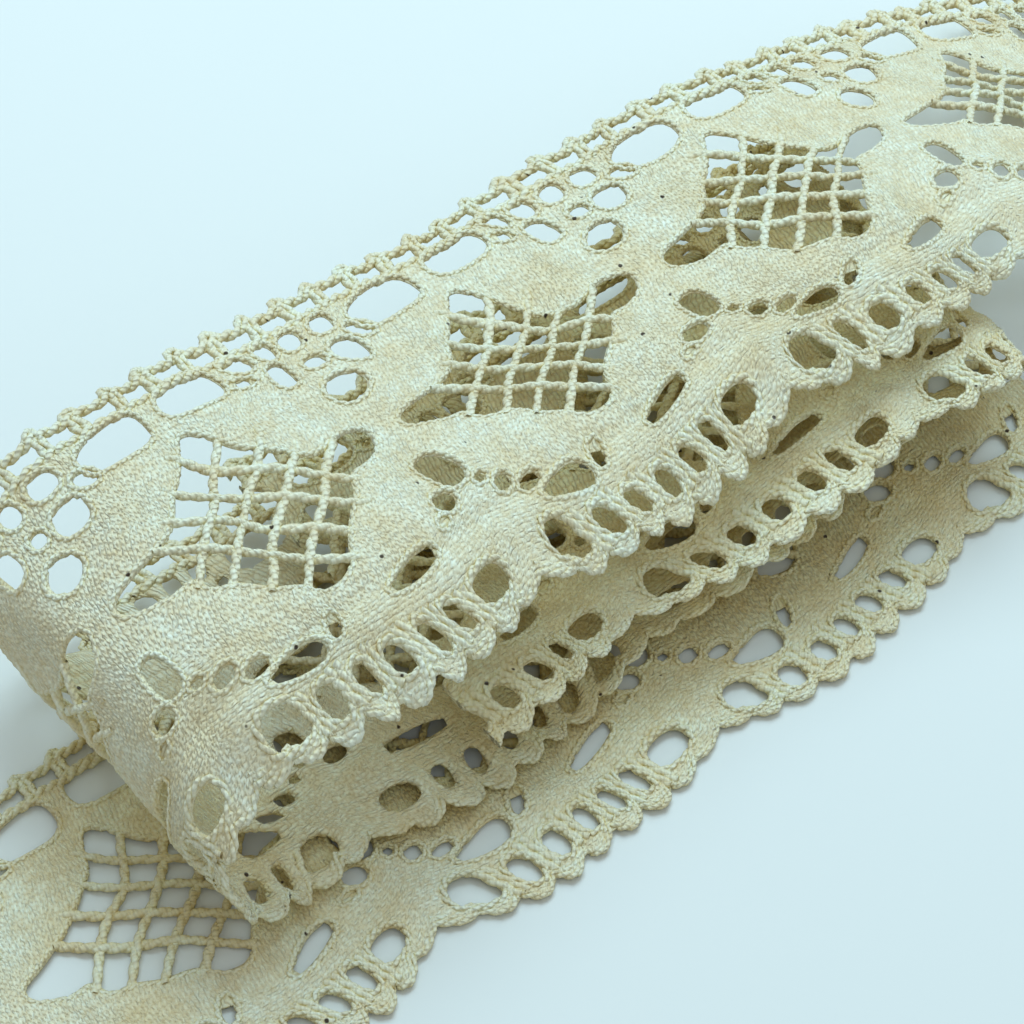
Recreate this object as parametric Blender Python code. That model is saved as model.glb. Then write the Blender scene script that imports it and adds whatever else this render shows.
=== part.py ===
"""Cotton lace trim, loosely folded into a flat bundle with no core.

Two lengths of the same scalloped edging, each one woven sheet and so one closed solid:
the folded length (inner run, right fold, front run, left fold, top run, loose tail) and
the flat length that it lies on. All sizes are in millimetres and turned to metres at the
very end. X runs along the trim, the scalloped edge faces -Y, and the surface is Z = 0.
"""

from typing import NamedTuple

import bpy
import numpy as np
from mathutils import Vector
from mathutils.geometry import delaunay_2d_cdt

MM = 0.001

# The trim, laid flat: s runs along it and t across it, from the picots to the scallops.
REPEAT = 37.0  # one diamond, one scallop
THICKNESS = 1.2
PICOT_ROOT = -20.7
PICOT_TIP = -21.6
PICOTS_PER_REPEAT = 8
NOTCH_T = 21.5  # front edge between two scallops
SCALLOP_T = 24.4  # front edge at the middle of a scallop
TOOTH = 0.45  # how far each rounded tooth stands out of the scallop
TEETH_PER_REPEAT = 8

# The mesh
HOLE_SIDES = 8
GRID_S = 3.1
GRID_T = 4.6
GRID_KEEP_OFF = 0.9  # inner points stay this far from outlines and holes
END_KEEP_OFF = 1.2  # holes stay this far from a cut end
PATH_STEPS = 24  # samples between two rows of a path
TANGENT_STEP = 0.8

# The front edge sags under its own weight past this line, where the table says so.
SAG_START_T = 6.0
SAG_FULL_T = 16.0


class Hole(NamedTuple):
    """One gap of the repeat: middle, half length, half width and turn from the s axis."""

    s: float
    t: float
    half_length: float
    half_width: float
    turn_deg: float


# Gaps over 4 mm. The smaller cells of the net and the ladder stay closed.
HOLES = [
    Hole(-6.5, -14.7, 4.1, 1.9, -4.0),  # beside the diamond's top corner
    Hole(4.6, -15.4, 3.5, 1.9, 0.0),
    Hole(-13.0, 0.4, 4.0, 1.7, -10.0),  # the diamond's side corners
    Hole(12.8, -0.2, 2.9, 1.8, 0.0),
    Hole(18.5, 7.4, 1.5, 2.3, 0.0),  # under the crossing of two diamonds
    Hole(-8.5, 15.5, 2.4, 1.2, 0.0),  # between diamond and scallop
    Hole(6.3, 15.0, 2.9, 0.8, -10.0),
    Hole(-13.2, 20.0, 2.0, 1.4, 15.0),  # the scallop's ends
    Hole(13.1, 19.4, 2.0, 1.3, -10.0),
]


class Row(NamedTuple):
    """One station of a run's middle line: place, plan turn and roll of the cross line, sag."""

    x: float
    y: float
    z: float
    skew_deg: float
    bank_deg: float
    sag: float


# Inner end first. The middle of one diamond of the top run is at the row named by TOP_ROW.
FOLDED = [
    Row(8.0, -3.0, 9.6, -3.0, 0.0, 0.0),  # inner run, its end hidden in the bundle
    Row(30.0, -4.0, 10.4, -3.0, 0.0, 0.0),
    Row(52.0, -4.5, 11.8, -4.0, -2.0, 0.0),
    Row(70.0, -5.0, 14.2, -7.0, -4.0, 0.0),
    Row(80.0, -6.0, 15.2, -9.0, -5.0, 0.0),  # right fold
    Row(84.6, -6.0, 11.4, -10.0, -5.0, 0.0),
    Row(80.0, -6.0, 7.6, -9.0, -5.0, 0.0),
    Row(68.0, -5.0, 6.6, -6.0, -4.0, 0.0),  # front run
    Row(46.0, -4.0, 5.2, -3.0, -2.0, 0.0),
    Row(22.0, -3.5, 3.5, -2.0, 1.0, 0.0),
    Row(-2.0, -3.0, 2.95, -2.0, 1.5, 0.0),
    Row(-13.0, -2.0, 4.4, -3.0, 3.0, 0.3),  # left fold
    Row(-21.6, -1.0, 9.4, -4.0, 4.0, 0.8),
    Row(-24.8, 0.0, 16.2, -4.0, 4.0, 1.2),
    Row(-21.4, 0.0, 23.4, -3.0, 4.0, 1.6),
    Row(-12.4, 0.0, 27.6, -1.0, 5.0, 1.6),
    Row(0.0, 0.0, 27.6, 1.0, 4.0, 1.6),  # top run
    Row(19.0, 0.5, 24.6, 1.0, 1.0, 1.6),
    Row(38.0, 1.0, 21.4, 0.0, -3.0, 1.6),
    Row(56.0, 0.8, 21.0, -1.0, -5.0, 1.6),
    Row(74.0, 0.0, 21.2, -2.0, -7.0, 1.6),
    Row(92.0, -1.0, 18.4, -4.0, -9.0, 1.6),
    Row(109.0, -2.0, 12.4, -6.0, -9.0, 1.2),
    Row(123.0, -3.5, 5.6, -7.0, -5.0, 0.6),
    Row(131.0, -5.0, 1.6, -8.0, 0.0, 0.0),  # tail, down on the surface
    Row(136.0, -5.5, 0.6, -8.0, 0.0, 0.0),
    Row(147.0, -6.6, 0.6, -8.0, 0.0, 0.0),
]
TOP_ROW = 16

FLAT = [
    Row(-82.0, -12.6, 0.6, 1.0, 0.0, 0.0),
    Row(-26.0, -14.0, 0.6, 0.0, 0.0, 0.0),
    Row(11.0, -15.0, 0.6, -2.0, 0.0, 0.0),
    Row(48.0, -16.0, 0.6, -1.0, 0.0, 0.0),
    Row(86.5, -14.0, 0.6, 2.0, 0.0, 0.0),
]
FLAT_ROW = 1

COTTON = (0.78, 0.74, 0.61, 1.0)
COTTON_ROUGHNESS = 0.9


class Path:
    """The bent surface of one run, read at any place s along it and t across it."""

    def __init__(self, rows, zero_row):
        table = np.array(rows, float)
        self.line = self.rounded(table)
        steps = np.linalg.norm(np.diff(self.line[:, :3], axis=0), axis=1)
        length = np.concatenate([[0.0], np.cumsum(steps)])
        self.s = length - length[zero_row * PATH_STEPS]

    @staticmethod
    def rounded(table):
        """A smooth line through the rows, with knots at the root of each chord."""
        chord = np.linalg.norm(np.diff(table[:, :3], axis=0), axis=1)
        knot = np.sqrt(chord)[:, None]
        slope = np.diff(table, axis=0) / knot
        tangent = np.empty_like(table)
        tangent[0] = slope[0]
        tangent[-1] = slope[-1]
        both = knot[1:] + knot[:-1]
        tangent[1:-1] = (slope[:-1] * knot[1:] + slope[1:] * knot[:-1]) / both
        u = np.linspace(0.0, 1.0, PATH_STEPS, endpoint=False)[:, None]
        pieces = []
        for i, width in enumerate(knot):
            start = (2 * u**3 - 3 * u**2 + 1) * table[i]
            leave = (u**3 - 2 * u**2 + u) * width * tangent[i]
            end = (-2 * u**3 + 3 * u**2) * table[i + 1]
            arrive = (u**3 - u**2) * width * tangent[i + 1]
            pieces.append(start + leave + end + arrive)
        pieces.append(table[-1:])
        return np.concatenate(pieces)

    def read(self, s):
        return np.stack([np.interp(s, self.s, column) for column in self.line.T], axis=1)

    def point(self, s, t, lift):
        """Where the trim's point (s, t) lies, lift millimetres above its middle sheet."""
        here = self.read(s)
        ahead = self.read(s + TANGENT_STEP)[:, :3]
        behind = self.read(s - TANGENT_STEP)[:, :3]
        along = ahead - behind
        skew = np.radians(here[:, 3])
        bank = np.radians(here[:, 4])
        plan = np.stack([np.sin(skew), -np.cos(skew)], axis=1) * np.cos(bank)[:, None]
        across = np.column_stack([plan, -np.sin(bank)])
        face = np.cross(across, along)
        face /= np.linalg.norm(face, axis=1)[:, None]
        middle = here[:, :3]
        middle[:, 2] = np.maximum(middle[:, 2], THICKNESS / 2)
        past = np.clip((t - SAG_START_T) / (SAG_FULL_T - SAG_START_T), 0.0, None)
        out = middle + across * t[:, None] + face * lift
        out[:, 2] -= here[:, 5] * past**2
        return out


def front_edge(s):
    """The scalloped edge: a shallow arch for each repeat, with rounded teeth on it."""
    phase = (s / REPEAT + 0.5) % 1.0
    arch = np.sin(np.pi * phase) ** 0.6
    tooth = 0.5 - 0.5 * np.cos(2 * np.pi * TEETH_PER_REPEAT * phase)
    return NOTCH_T + (SCALLOP_T - NOTCH_T) * arch + TOOTH * (tooth - 0.5) * arch


def back_edge(s):
    """The picot edge: small rounded points, PICOTS_PER_REPEAT to a repeat."""
    tooth = 0.5 - 0.5 * np.cos(2 * np.pi * PICOTS_PER_REPEAT * s / REPEAT)
    return PICOT_ROOT + (PICOT_TIP - PICOT_ROOT) * tooth


def outline(first, last):
    """The flat trim's outline from one cut end to the other, as a closed loop of points."""
    step = REPEAT / TEETH_PER_REPEAT / 2
    inner = np.arange(np.ceil(first / step + 0.5), np.floor(last / step - 0.5) + 1) * step
    s = np.concatenate([[first], inner, [last]])
    front = np.stack([s, front_edge(s)], axis=1)
    back = np.stack([s, back_edge(s)], axis=1)
    ends = int((front[0, 1] - back[0, 1]) / GRID_T)
    rise = np.linspace(0.0, 1.0, ends + 2)[1:-1, None]
    left = front[0] + (back[0] - front[0]) * rise
    right = back[-1] + (front[-1] - back[-1]) * rise
    return np.concatenate([front[::-1], left, back, right])


def hole_loops(first, last):
    """Every gap of HOLES in every repeat that fits between the two cut ends."""
    angle = np.arange(HOLE_SIDES) * 2 * np.pi / HOLE_SIDES
    loops = []
    for k in range(int(first // REPEAT) - 1, int(last // REPEAT) + 2):
        for hole in HOLES:
            middle = hole.s + k * REPEAT
            reach = max(hole.half_length, hole.half_width) + END_KEEP_OFF
            if middle - reach < first or middle + reach > last:
                continue
            turn = np.radians(hole.turn_deg)
            a = hole.half_length * np.cos(angle)
            b = hole.half_width * np.sin(angle)
            s = middle + a * np.cos(turn) - b * np.sin(turn)
            t = hole.t + a * np.sin(turn) + b * np.cos(turn)
            loops.append(np.stack([s, t], axis=1))
    return loops


def inside(loop, points):
    """Whether each point lies in the loop, counted by the edges that a ray crosses."""
    a = loop
    b = np.roll(loop, -1, axis=0)
    over = (a[None, :, 1] > points[:, None, 1]) != (b[None, :, 1] > points[:, None, 1])
    rise = b[:, 1] - a[:, 1]
    rise = np.where(rise == 0, 1.0, rise)
    cut = a[:, 0] + (points[:, None, 1] - a[:, 1]) / rise * (b[:, 0] - a[:, 0])
    return ((points[:, None, 0] < cut) & over).sum(axis=1) % 2 == 1


def grid_points(first, last, loops):
    """Inner points, so that the sheet can bend, clear of the outline and the holes."""
    columns = np.arange(first + GRID_S, last - GRID_S / 2, GRID_S)
    rows = np.arange(PICOT_ROOT + GRID_T / 2, NOTCH_T, GRID_T)
    s, t = np.meshgrid(columns, rows)
    s = s + np.where(np.arange(len(rows)) % 2, GRID_S / 2, 0.0)[:, None]
    points = np.stack([s.ravel(), t.ravel()], axis=1)
    points = points[points[:, 0] < last - GRID_KEEP_OFF]
    for loop in loops:
        ends = np.roll(loop, -1, axis=0)
        run = ends - loop
        reach = (points[:, None] - loop) * run
        share = np.clip(reach.sum(axis=2) / (run**2).sum(axis=1), 0.0, 1.0)
        near = loop + run * share[..., None]
        gap = np.linalg.norm(points[:, None] - near, axis=2).min(axis=1)
        points = points[gap > GRID_KEEP_OFF]
    edge = inside(loops[0], points)
    for loop in loops[1:]:
        edge &= ~inside(loop, points)
    return points[edge]


def sheet(first, last):
    """The flat trim as points and triangles, holes left open."""
    loops = [outline(first, last)] + hole_loops(first, last)
    points = []
    edges = []
    for loop in loops:
        start = len(points)
        count = len(loop)
        points.extend(Vector(p) for p in loop.tolist())
        edges.extend((start + i, start + (i + 1) % count) for i in range(count))
    points.extend(Vector(p) for p in grid_points(first, last, loops).tolist())
    corners, _, faces, _, _, _ = delaunay_2d_cdt(points, edges, [], 0, 1e-6)
    flat = np.array([tuple(c) for c in corners])
    tris = np.array(faces)
    middle = flat[tris].mean(axis=1)
    keep = inside(loops[0], middle)
    for loop in loops[1:]:
        keep &= ~inside(loop, middle)
    return flat, tris[keep]


def wall_edges(tris):
    """The edges that only one triangle uses, in that triangle's direction."""
    edges = np.concatenate([tris[:, [0, 1]], tris[:, [1, 2]], tris[:, [2, 0]]])
    both = np.sort(edges, axis=1)
    _, index, count = np.unique(both, axis=0, return_index=True, return_counts=True)
    return edges[index[count == 1]]


def build_run(name, rows, zero_row, material):
    """One length of trim: the flat sheet, given its thickness and laid along its path."""
    path = Path(rows, zero_row)
    flat, tris = sheet(path.s[0], path.s[-1])
    s = flat[:, 0]
    t = flat[:, 1]
    upper = path.point(s, t, THICKNESS / 2)
    lower = path.point(s, t, -THICKNESS / 2)
    count = len(flat)
    walls = wall_edges(tris)
    a = walls[:, 0]
    b = walls[:, 1]
    # t runs towards -Y, so a triangle that turns left on the flat faces down.
    quads = np.stack([a, b, b + count, a + count], axis=1)
    faces = tris[:, ::-1].tolist() + (tris + count).tolist() + quads.tolist()
    points = np.concatenate([upper, lower]) * MM
    mesh = bpy.data.meshes.new(name)
    mesh.from_pydata(points.tolist(), [], faces)
    mesh.materials.append(material)
    for polygon in mesh.polygons:
        polygon.use_smooth = True
    mesh.validate()
    trim = bpy.data.objects.new(name, mesh)
    bpy.context.scene.collection.objects.link(trim)
    return trim


def cotton(name):
    material = bpy.data.materials.new(name)
    material.use_nodes = True
    shader = material.node_tree.nodes["Principled BSDF"]
    shader.inputs["Base Color"].default_value = COTTON
    shader.inputs["Roughness"].default_value = COTTON_ROUGHNESS
    shader.inputs["Metallic"].default_value = 0.0
    return material


def stand_on_origin(trims):
    """Move both lengths so that the middle of their box is over the origin."""
    points = np.array([vertex.co for trim in trims for vertex in trim.data.vertices])
    middle = (points.min(axis=0) + points.max(axis=0)) / 2
    shift = Vector((-middle[0], -middle[1], 0.0))
    for trim in trims:
        for vertex in trim.data.vertices:
            vertex.co += shift


for old in list(bpy.data.objects):
    bpy.data.objects.remove(old)

stand_on_origin(
    [
        build_run("folded_length", FOLDED, TOP_ROW, cotton("ecru cotton, folded")),
        build_run("flat_length", FLAT, FLAT_ROW, cotton("ecru cotton, flat")),
    ]
)
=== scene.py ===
"""Looks of the folded cotton lace trim: two lengths of one scalloped bobbin lace edging.

The trim is drawn once, flat, as a repeat in millimetres: s runs along it and t across it, from
the picots to the scallops, and h is the height over its middle sheet. The repeat is set out
along each length and then laid on the same bent line that the solids follow. The cloth stitch
is a thin sheet with a woven surface, and every bar, rim, chain and picot is a real thread.
"""

from __future__ import annotations

import logging
import math
from dataclasses import dataclass, field
from enum import Enum
from typing import NamedTuple

import bpy
import numpy as np
from mathutils import Matrix, Vector

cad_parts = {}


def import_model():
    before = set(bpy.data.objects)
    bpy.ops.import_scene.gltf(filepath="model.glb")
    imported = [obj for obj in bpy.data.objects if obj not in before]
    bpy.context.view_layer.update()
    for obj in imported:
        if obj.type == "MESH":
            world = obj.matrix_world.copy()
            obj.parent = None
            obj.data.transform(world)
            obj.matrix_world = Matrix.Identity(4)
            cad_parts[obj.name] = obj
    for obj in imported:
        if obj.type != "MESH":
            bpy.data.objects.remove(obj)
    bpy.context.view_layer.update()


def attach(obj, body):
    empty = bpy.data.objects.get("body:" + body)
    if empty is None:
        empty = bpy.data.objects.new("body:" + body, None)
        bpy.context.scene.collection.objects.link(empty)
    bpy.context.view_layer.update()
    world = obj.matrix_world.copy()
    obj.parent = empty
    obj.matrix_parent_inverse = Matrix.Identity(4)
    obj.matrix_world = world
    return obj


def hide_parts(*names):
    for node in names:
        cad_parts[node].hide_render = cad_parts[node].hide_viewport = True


LOG = logging.getLogger("lace")
Array = np.ndarray
Span = tuple[float, float]
# What fills a socket: a node, a node with one of its outputs, or a plain value.
Source = object
MM = 0.001
BODY = "root"

# The middle of the whole bundle's box, taken off every point so that it stands on the origin.
MIDDLE_X = 33.777
MIDDLE_Y = -8.998

REPEAT = 37.0
THICKNESS = 1.2


class Row(NamedTuple):
    """One station of a length's middle line: place, plan turn and roll, and the edge's sag."""

    x: float
    y: float
    z: float
    skew_deg: float = 0.0
    bank_deg: float = 0.0
    sag: float = 0.0


# Inner end first, in mm. The stations are the solids' own, but for two places. The four of the
# inner run's right half and the right fold lie up to 3 mm further forward and 2 mm lower, and
# the five of the left fold are turned up to 3.2 degrees less in plan.
FOLDED = [
    Row(8.0, -3.0, 9.6, -3.0),  # inner run
    Row(30.0, -4.0, 10.4, -3.0),
    Row(52.0, -5.9, 11.0, -4.0, -2.0),
    Row(70.0, -7.8, 12.4, -7.0, -4.0),
    Row(80.0, -8.6, 13.3, -9.0, -5.0),  # right fold
    Row(84.6, -7.7, 10.9, -10.0, -5.0),
    Row(80.0, -6.0, 7.6, -9.0, -5.0),
    Row(68.0, -5.0, 6.6, -6.0, -4.0),  # front run
    Row(46.0, -4.0, 5.2, -3.0, -2.0),
    Row(22.0, -3.5, 3.5, -2.0, 1.0),
    Row(-2.0, -3.0, 2.95, -2.0, 1.5),
    Row(-13.0, -2.0, 4.4, -1.5, 3.0, 0.3),  # left fold
    Row(-21.6, -1.0, 9.4, -1.0, 4.0, 0.8),
    Row(-24.8, 0.0, 16.2, -0.8, 4.0, 1.2),
    Row(-21.4, 0.0, 23.4, -0.8, 4.0, 1.6),
    Row(-12.4, 0.0, 27.6, -0.2, 5.0, 1.6),
    Row(0.0, 0.0, 27.6, 1.0, 4.0, 1.6),  # top run
    Row(19.0, 0.5, 24.6, 1.0, 1.0, 1.6),
    Row(38.0, 1.0, 21.4, 0.0, -3.0, 1.6),
    Row(56.0, 0.8, 21.0, -1.0, -5.0, 1.6),
    Row(74.0, 0.0, 21.2, -2.0, -7.0, 1.6),
    Row(92.0, -1.0, 18.4, -4.0, -9.0, 1.6),
    Row(109.0, -2.0, 12.4, -6.0, -9.0, 1.2),
    Row(123.0, -3.5, 5.6, -7.0, -5.0, 0.6),
    Row(131.0, -5.0, 1.6, -8.0),  # tail
    Row(136.0, -5.5, 0.6, -8.0),
    Row(147.0, -6.6, 0.6, -8.0),
]
TOP_ROW = 16

FLAT = [
    Row(-82.0, -12.6, 0.6, 1.0),
    Row(-26.0, -14.0, 0.6),
    Row(11.0, -15.0, 0.6, -2.0),
    Row(48.0, -16.0, 0.6, -1.0),
    Row(86.5, -14.0, 0.6, 2.0),
]
FLAT_ROW = 1


class Pull(NamedTuple):
    """How far the lace has been drawn along its own line at one place, in mm."""

    s: float
    shift: float


# The folded length is drawn out towards its right fold on the front run.
PULLS = [
    Pull(-216.0, 0.0),
    Pull(-198.0, -2.4),
    Pull(-172.0, 1.4),
    Pull(-156.0, 0.0),
    Pull(-136.0, -4.6),
    Pull(-122.0, -4.2),
    Pull(-98.0, 0.0),
]


class Gap(NamedTuple):
    """One gap of the repeat: middle, half sizes, turn, squareness (2 is oval) and taper."""

    s: float
    t: float
    half_length: float
    half_width: float
    turn_deg: float
    square: float
    taper: float = 0.0


GAPS = [
    Gap(-6.2, -14.6, 4.5, 2.2, -5.0, 2.8, 0.15),  # beside the diamond's top corner
    Gap(4.5, -15.4, 3.6, 2.1, 2.0, 3.0),
    Gap(11.4, -16.2, 1.6, 0.85, 50.0, 2.2),  # the open ground between diamonds
    Gap(9.9, -13.8, 1.4, 0.5, 25.0, 2.0),
    Gap(15.0, -15.9, 0.95, 1.4, -15.0, 2.4),
    Gap(18.3, -15.6, 1.1, 1.3, -10.0, 2.4),
    Gap(22.4, -15.5, 1.4, 1.2, 0.0, 2.4),
    Gap(14.2, -11.9, 1.2, 1.9, -5.0, 2.6),
    Gap(18.6, -11.6, 1.0, 0.8, 0.0, 2.2),
    Gap(22.5, -10.9, 1.8, 1.7, 10.0, 2.3),
    Gap(25.8, -13.0, 1.4, 0.75, 32.0, 2.0),
    Gap(18.4, -6.8, 2.0, 1.9, 0.0, 1.9),
    Gap(18.2, 7.7, 1.6, 2.4, -6.0, 2.6),  # under the crossing of two diamonds
    Gap(15.4, 10.9, 1.4, 1.05, 0.0, 2.2),
    Gap(20.4, 10.9, 0.6, 0.45, 0.0, 2.0),
    Gap(22.5, 12.5, 1.1, 0.8, -15.0, 2.2),
    Gap(25.2, 13.9, 1.2, 0.7, -10.0, 2.2),
    Gap(28.2, 16.0, 3.0, 1.35, 0.0, 2.4, 0.5),  # between diamond and scallop
    Gap(33.4, 15.1, 1.7, 0.6, -52.0, 2.0),
    Gap(7.0, 14.9, 3.5, 0.95, -13.0, 2.0, 0.2),
    Gap(13.4, 12.6, 0.9, 0.3, -20.0, 2.0),
    Gap(-13.0, 20.1, 2.5, 1.9, 22.0, 2.2, -0.15),  # the scallop's row of gaps
    Gap(-7.9, 20.9, 1.8, 1.1, 72.0, 2.2),
    Gap(-3.7, 21.0, 1.65, 1.0, 66.0, 2.2),
    Gap(0.3, 21.0, 1.6, 0.95, 72.0, 2.2),
    Gap(4.3, 20.8, 1.7, 1.0, 66.0, 2.2),
    Gap(8.2, 20.3, 1.65, 0.9, 68.0, 2.2),
    Gap(13.1, 19.5, 2.2, 1.5, -8.0, 2.4),
]
GAP_SIDES = 20


class Corner(NamedTuple):
    """One corner of a closed line on the flat repeat."""

    s: float
    t: float


def corners(*places: Span) -> list[Corner]:
    """Corners from pairs of s and t."""
    return [Corner(*place) for place in places]


# The window that holds the net and the two side gaps of the diamond.
WINDOW = corners(
    (0.2, -11.3), (1.9, -9.2), (3.1, -6.7), (4.4, -4.8), (6.1, -3.1), (8.1, -1.7), (10.4, -1.5),
    (13.5, -2.2), (15.9, -1.1), (15.0, 1.0), (13.0, 1.9), (10.4, 2.0), (9.0, 3.9), (7.0, 5.8),
    (4.6, 8.4), (2.0, 11.2), (-0.6, 11.4), (-2.6, 9.6), (-5.4, 8.2), (-7.6, 6.0), (-10.0, 4.6),
    (-10.8, 2.8), (-13.5, 2.6), (-16.9, 1.1), (-16.7, -0.6), (-13.0, -1.3), (-9.2, -2.1),
    (-7.0, -3.8), (-5.0, -6.0), (-3.2, -7.4), (-1.7, -9.4),
)

# The outer edge of the cloth stitch that rings the window.
RING = corners(
    (0.0, -12.9), (7.5, -13.0), (12.0, -11.8), (15.6, -8.6), (16.6, -4.6), (18.5, -2.4),
    (20.4, 0.4), (18.6, 3.6), (16.2, 5.2), (14.4, 9.6), (10.8, 12.6), (4.5, 14.2), (0.0, 14.6),
    (-5.0, 14.2), (-10.6, 12.8), (-14.4, 9.8), (-16.4, 5.4), (-18.6, 3.2), (-20.2, 0.2),
    (-18.4, -2.6), (-16.6, -4.8), (-15.6, -8.6), (-11.6, -11.6), (-7.0, -12.4),
)

# Heights t of the net's lattice lines, by the sum of a knot's two line numbers.
NET_LINES = 5
NET_T = [-11.8, -9.2, -6.0, -3.2, -1.3, 1.0, 3.3, 5.5, 7.8, 10.2, 12.0]
NET_STEP = 2.65
NET_MIDDLE = 0.3

# Each thread's tone is this share of a whole step on from the one before.
GOLDEN_SHARE = 0.618034


def linear(hex_colour: str) -> tuple[float, float, float, float]:
    """Turn an sRGB hex colour into Blender's linear colour.

    Args:
        hex_colour: six hex digits, red first.

    Returns:
        Linear red, green, blue and an alpha of 1.
    """
    parts = [int(hex_colour[i : i + 2], 16) / 255 for i in (0, 2, 4)]
    turned = [c / 12.92 if c <= 0.04045 else ((c + 0.055) / 1.055) ** 2.4 for c in parts]
    return (turned[0], turned[1], turned[2], 1.0)


def running(line: Array) -> Array:
    """Length along a line at each of its points."""
    return np.concatenate([[0.0], np.cumsum(np.linalg.norm(np.diff(line, axis=0), axis=1))])


def unit(rows: Array) -> Array:
    """Each row brought to a length of 1."""
    return rows / np.maximum(np.linalg.norm(rows, axis=1), 1e-9)[:, None]


class TrimPath:
    """The bent surface of one length, made as the solids' is: place from (s, t, h)."""

    steps: int = 24
    tangent_step: float = 0.8
    sag_start: float = 6.0
    sag_full: float = 16.0

    def __init__(self, rows: list[Row], zero_row: int) -> None:
        """Round the rows into a line and measure s along it, from first to last cut end.

        Args:
            rows: the stations, in mm.
            zero_row: the row where s is 0.
        """
        self.line = self.rounded(np.array(rows, float))
        length = running(self.line[:, :3])
        self.s = length - length[zero_row * self.steps]
        self.first, self.last = float(self.s[0]), float(self.s[-1])

    def rounded(self, table: Array) -> Array:
        """Cubic Hermite line through the rows, with knots at the root of each chord.

        Args:
            table: one row a station.

        Returns:
            The line's points with their skew, bank and sag, one row each.
        """
        chord = np.linalg.norm(np.diff(table[:, :3], axis=0), axis=1)
        knot = np.sqrt(chord)[:, None]
        slope = np.diff(table, axis=0) / knot
        tangent = np.empty_like(table)
        tangent[0] = slope[0]
        tangent[-1] = slope[-1]
        tangent[1:-1] = (slope[:-1] * knot[1:] + slope[1:] * knot[:-1]) / (knot[1:] + knot[:-1])
        u = np.linspace(0.0, 1.0, self.steps, endpoint=False)[None, :, None]
        near, far = table[:-1, None], table[1:, None]
        leave, arrive = (tangent[:-1] * knot)[:, None], (tangent[1:] * knot)[:, None]
        line = (
            (2 * u**3 - 3 * u**2 + 1) * near
            + (u**3 - 2 * u**2 + u) * leave
            + (-2 * u**3 + 3 * u**2) * far
            + (u**3 - u**2) * arrive
        )
        return np.concatenate([line.reshape(-1, table.shape[1]), table[-1:]])

    def read(self, s: Array) -> Array:
        """The line's columns at each s, straight between its points."""
        return np.stack([np.interp(s, self.s, column) for column in self.line.T], axis=1)

    def place(self, flat: Array) -> Array:
        """Lay flat points on the bent surface.

        The point is the middle line's, plus t times the cross line turned by skew and bank,
        plus h times the face direction, less the sag of the front edge.

        Args:
            flat: one row (s, t, h) a point, in mm.

        Returns:
            One row (x, y, z) a point, in metres, in the row frame.
        """
        s, t, h = flat.T
        here = self.read(s)
        along = self.read(s + self.tangent_step)[:, :3] - self.read(s - self.tangent_step)[:, :3]
        skew, bank = np.radians(here[:, 3]), np.radians(here[:, 4])
        across = np.stack(
            [np.sin(skew) * np.cos(bank), -np.cos(skew) * np.cos(bank), -np.sin(bank)], axis=1
        )
        face = unit(np.cross(across, along))
        middle = here[:, :3].copy()
        middle[:, 2] = np.maximum(middle[:, 2], THICKNESS / 2)
        past = np.clip((t - self.sag_start) / (self.sag_full - self.sag_start), 0.0, None)
        out = middle + across * t[:, None] + face * h[:, None]
        out[:, 2] = np.maximum(out[:, 2] - here[:, 5] * past**2, 0.0)
        return (out - np.array([MIDDLE_X, MIDDLE_Y, 0.0])) * MM


def rounded_loop(corners: list[Corner], steps: int = 3) -> Array:
    """Closed Catmull-Rom line through given corners.

    Args:
        corners: the corners in order.
        steps: points from one corner to the next.

    Returns:
        One row (s, t) a point, the last not repeated.
    """
    p1 = np.array(corners, float)
    p0, p2, p3 = np.roll(p1, 1, 0), np.roll(p1, -1, 0), np.roll(p1, -2, 0)
    u = np.linspace(0.0, 1.0, steps, endpoint=False)[None, :, None]
    p0, p1, p2, p3 = p0[:, None], p1[:, None], p2[:, None], p3[:, None]
    line = 0.5 * (
        2 * p1
        + (p2 - p0) * u
        + (2 * p0 - 5 * p1 + 4 * p2 - p3) * u**2
        + (3 * p1 - p0 - 3 * p2 + p3) * u**3
    )
    return line.reshape(-1, 2)


def gap_loop(gap: Gap) -> Array:
    """Outline of one gap, a superellipse: each axis is the sine or cosine to the power 2/n.

    Args:
        gap: the gap's row.

    Returns:
        One row (s, t) a point, counter-clockwise in (s, t).
    """
    angle = np.arange(GAP_SIDES) * 2 * np.pi / GAP_SIDES
    c, d = np.cos(angle), np.sin(angle)
    a = gap.half_length * np.sign(c) * np.abs(c) ** (2 / gap.square)
    b = gap.half_width * np.sign(d) * np.abs(d) ** (2 / gap.square)
    b = b * (1 + gap.taper * a / gap.half_length)
    turn = math.radians(gap.turn_deg)
    s = gap.s + a * math.cos(turn) - b * math.sin(turn)
    t = gap.t + a * math.sin(turn) + b * math.cos(turn)
    return np.stack([s, t], axis=1)


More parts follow.
